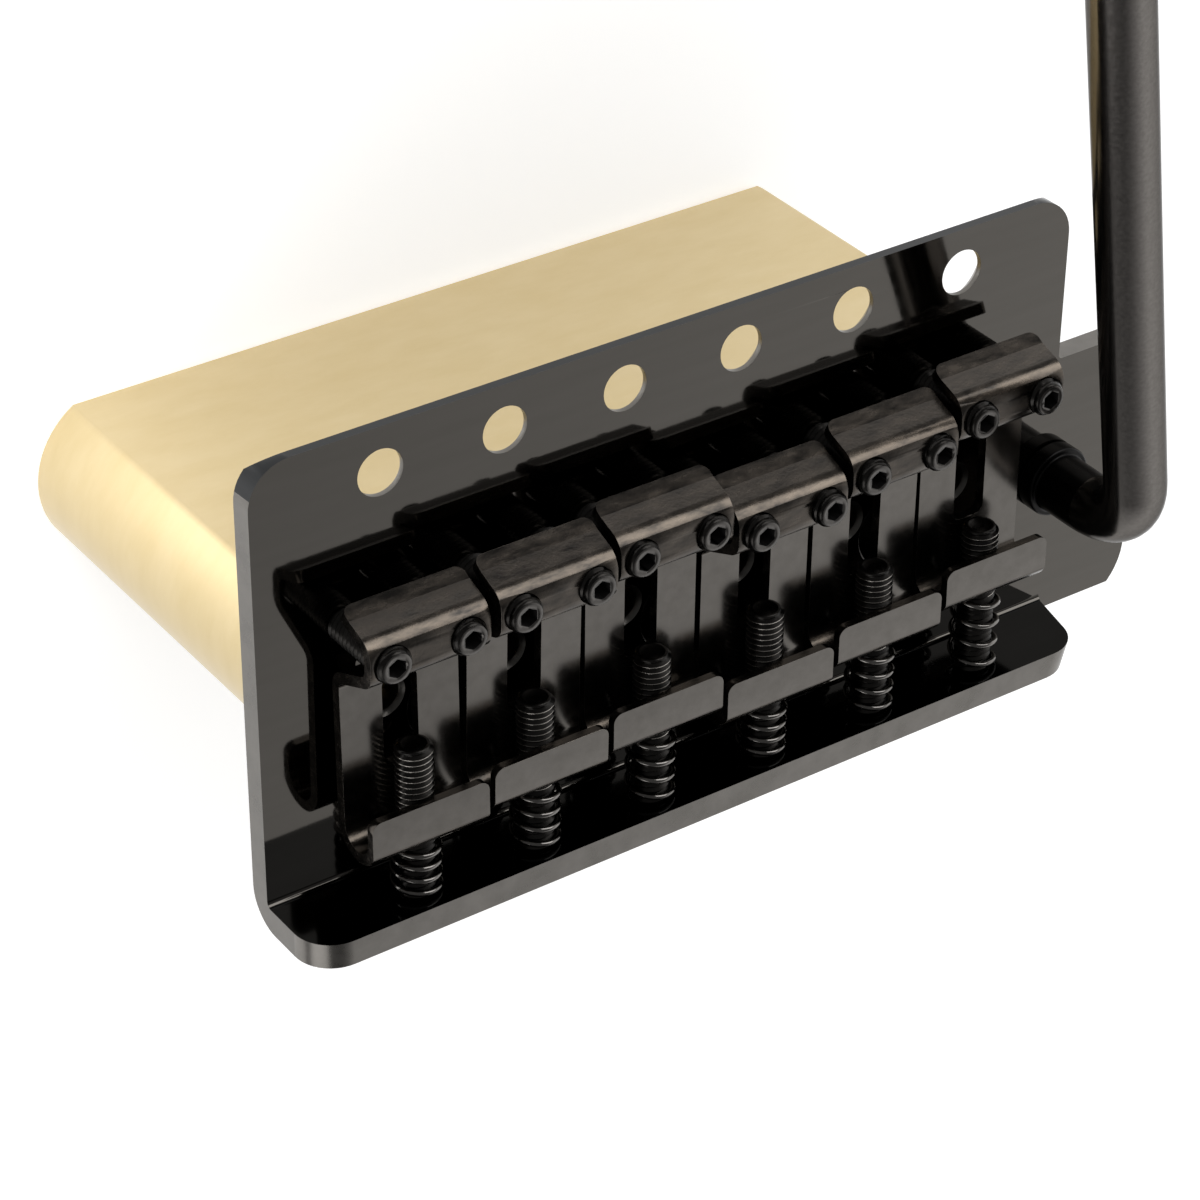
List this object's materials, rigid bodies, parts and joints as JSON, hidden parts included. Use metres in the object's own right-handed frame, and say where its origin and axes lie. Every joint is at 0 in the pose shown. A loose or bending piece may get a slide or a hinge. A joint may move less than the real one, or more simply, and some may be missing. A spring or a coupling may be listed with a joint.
{
  "type": "guitar tremolo bridge",
  "caption": "Electric-guitar tremolo bridge: bent steel plate with sprung adjustable saddles, a bent screw-in arm and a deep brass block underneath that takes the strings.",
  "frame": {"origin": "middle of the row of mounting holes, on the underside of the plate", "axes": "+X across the strings towards the treble side, +Y along the strings towards the neck, +Z out of the guitar's top"},
  "size_m": [0.0829, 0.1561, 0.078],
  "materials": {
    "black_nickel": "mirror-polished black nickel",
    "dark_saddle": "satin black nickel",
    "satin_brass": "satin",
    "black_screw": "blackened",
    "spring_steel": "blackened wire",
    "black_arm": "black nickel",
    "black_tip": "gloss"
  },
  "bodies": {
    "bridge": {"base_plate": "black_nickel", "tremolo_block": "satin_brass", "block_screws": "black_screw", "length_spring_1": "spring_steel", "length_spring_2": "spring_steel", "length_spring_3": "spring_steel", "length_spring_4": "spring_steel", "length_spring_5": "spring_steel", "length_spring_6": "spring_steel"},
    "arm": {"tremolo_arm": "black_arm", "arm_tip": "black_tip"},
    "saddle_1": {"saddle_1": "dark_saddle"},
    "length_screw_1": {"length_screw_1": "black_screw"},
    "height_screw_1_bass": {"height_screw_1_bass": "black_screw"},
    "height_screw_1_treble": {"height_screw_1_treble": "black_screw"},
    "saddle_2": {"saddle_2": "dark_saddle"},
    "length_screw_2": {"length_screw_2": "black_screw"},
    "height_screw_2_bass": {"height_screw_2_bass": "black_screw"},
    "height_screw_2_treble": {"height_screw_2_treble": "black_screw"},
    "saddle_3": {"saddle_3": "dark_saddle"},
    "length_screw_3": {"length_screw_3": "black_screw"},
    "height_screw_3_bass": {"height_screw_3_bass": "black_screw"},
    "height_screw_3_treble": {"height_screw_3_treble": "black_screw"},
    "saddle_4": {"saddle_4": "dark_saddle"},
    "length_screw_4": {"length_screw_4": "black_screw"},
    "height_screw_4_bass": {"height_screw_4_bass": "black_screw"},
    "height_screw_4_treble": {"height_screw_4_treble": "black_screw"},
    "saddle_5": {"saddle_5": "dark_saddle"},
    "length_screw_5": {"length_screw_5": "black_screw"},
    "height_screw_5_bass": {"height_screw_5_bass": "black_screw"},
    "height_screw_5_treble": {"height_screw_5_treble": "black_screw"},
    "saddle_6": {"saddle_6": "dark_saddle"},
    "length_screw_6": {"length_screw_6": "black_screw"},
    "height_screw_6_bass": {"height_screw_6_bass": "black_screw"},
    "height_screw_6_treble": {"height_screw_6_treble": "black_screw"}
  },
  "joints": [
    {"name": "arm_swivel", "type": "hinge", "parent": "bridge", "child": "arm", "pos_m": [0.03675, -0.02175, 0.002], "axis": [0, 0, 1], "range_deg": [-110, 50]},
    {"name": "length_screw_1_turn", "type": "hinge", "parent": "bridge", "child": "length_screw_1", "pos_m": [-0.0265, -0.036, 0.006], "axis": [0, 1, 0], "range_deg": [-1440, 720]},
    {"name": "saddle_1_slide", "type": "slide", "parent": "bridge", "child": "saddle_1", "axis": [0, 1, 0], "range_m": [-0.001, 0.002], "deforming": ["length_spring_1"]},
    {"name": "height_screw_1_bass_turn", "type": "hinge", "parent": "saddle_1", "child": "height_screw_1_bass", "pos_m": [-0.02967, -0.01127, 0.002], "axis": [0, 0, 1], "range_deg": [-720, 720]},
    {"name": "height_screw_1_treble_turn", "type": "hinge", "parent": "saddle_1", "child": "height_screw_1_treble", "pos_m": [-0.02332, -0.01127, 0.002], "axis": [0, 0, 1], "range_deg": [-720, 720]},
    {"name": "length_screw_2_turn", "type": "hinge", "parent": "bridge", "child": "length_screw_2", "pos_m": [-0.0159, -0.036, 0.006], "axis": [0, 1, 0], "range_deg": [-1440, 720]},
    {"name": "saddle_2_slide", "type": "slide", "parent": "bridge", "child": "saddle_2", "axis": [0, 1, 0], "range_m": [-0.001, 0.002], "deforming": ["length_spring_2"]},
    {"name": "height_screw_2_bass_turn", "type": "hinge", "parent": "saddle_2", "child": "height_screw_2_bass", "pos_m": [-0.01908, -0.01051, 0.002], "axis": [0, 0, 1], "range_deg": [-720, 720]},
    {"name": "height_screw_2_treble_turn", "type": "hinge", "parent": "saddle_2", "child": "height_screw_2_treble", "pos_m": [-0.01273, -0.01051, 0.002], "axis": [0, 0, 1], "range_deg": [-720, 720]},
    {"name": "length_screw_3_turn", "type": "hinge", "parent": "bridge", "child": "length_screw_3", "pos_m": [-0.0053, -0.036, 0.006], "axis": [0, 1, 0], "range_deg": [-1440, 720]},
    {"name": "saddle_3_slide", "type": "slide", "parent": "bridge", "child": "saddle_3", "axis": [0, 1, 0], "range_m": [-0.001, 0.002], "deforming": ["length_spring_3"]},
    {"name": "height_screw_3_bass_turn", "type": "hinge", "parent": "saddle_3", "child": "height_screw_3_bass", "pos_m": [-0.00847, -0.00987, 0.002], "axis": [0, 0, 1], "range_deg": [-720, 720]},
    {"name": "height_screw_3_treble_turn", "type": "hinge", "parent": "saddle_3", "child": "height_screw_3_treble", "pos_m": [-0.00213, -0.00987, 0.002], "axis": [0, 0, 1], "range_deg": [-720, 720]},
    {"name": "length_screw_4_turn", "type": "hinge", "parent": "bridge", "child": "length_screw_4", "pos_m": [0.0053, -0.036, 0.006], "axis": [0, 1, 0], "range_deg": [-1440, 720]},
    {"name": "saddle_4_slide", "type": "slide", "parent": "bridge", "child": "saddle_4", "axis": [0, 1, 0], "range_m": [-0.001, 0.002], "deforming": ["length_spring_4"]},
    {"name": "height_screw_4_bass_turn", "type": "hinge", "parent": "saddle_4", "child": "height_screw_4_bass", "pos_m": [0.00213, -0.01128, 0.002], "axis": [0, 0, 1], "range_deg": [-720, 720]},
    {"name": "height_screw_4_treble_turn", "type": "hinge", "parent": "saddle_4", "child": "height_screw_4_treble", "pos_m": [0.00847, -0.01128, 0.002], "axis": [0, 0, 1], "range_deg": [-720, 720]},
    {"name": "length_screw_5_turn", "type": "hinge", "parent": "bridge", "child": "length_screw_5", "pos_m": [0.0159, -0.036, 0.006], "axis": [0, 1, 0], "range_deg": [-1440, 720]},
    {"name": "saddle_5_slide", "type": "slide", "parent": "bridge", "child": "saddle_5", "axis": [0, 1, 0], "range_m": [-0.001, 0.002], "deforming": ["length_spring_5"]},
    {"name": "height_screw_5_bass_turn", "type": "hinge", "parent": "saddle_5", "child": "height_screw_5_bass", "pos_m": [0.01273, -0.01011, 0.002], "axis": [0, 0, 1], "range_deg": [-720, 720]},
    {"name": "height_screw_5_treble_turn", "type": "hinge", "parent": "saddle_5", "child": "height_screw_5_treble", "pos_m": [0.01908, -0.01011, 0.002], "axis": [0, 0, 1], "range_deg": [-720, 720]},
    {"name": "length_screw_6_turn", "type": "hinge", "parent": "bridge", "child": "length_screw_6", "pos_m": [0.0265, -0.036, 0.006], "axis": [0, 1, 0], "range_deg": [-1440, 720]},
    {"name": "saddle_6_slide", "type": "slide", "parent": "bridge", "child": "saddle_6", "axis": [0, 1, 0], "range_m": [-0.001, 0.002], "deforming": ["length_spring_6"]},
    {"name": "height_screw_6_bass_turn", "type": "hinge", "parent": "saddle_6", "child": "height_screw_6_bass", "pos_m": [0.02332, -0.00882, 0.002], "axis": [0, 0, 1], "range_deg": [-720, 720]},
    {"name": "height_screw_6_treble_turn", "type": "hinge", "parent": "saddle_6", "child": "height_screw_6_treble", "pos_m": [0.02967, -0.00882, 0.002], "axis": [0, 0, 1], "range_deg": [-720, 720]}
  ],
  "couplings": [
    {"joint": "length_screw_1_turn", "follows": "saddle_1_slide", "rad_per_m": -12566},
    {"joint": "length_screw_2_turn", "follows": "saddle_2_slide", "rad_per_m": -12566},
    {"joint": "length_screw_3_turn", "follows": "saddle_3_slide", "rad_per_m": -12566},
    {"joint": "length_screw_4_turn", "follows": "saddle_4_slide", "rad_per_m": -12566},
    {"joint": "length_screw_5_turn", "follows": "saddle_5_slide", "rad_per_m": -12566},
    {"joint": "length_screw_6_turn", "follows": "saddle_6_slide", "rad_per_m": -12566}
  ]
}
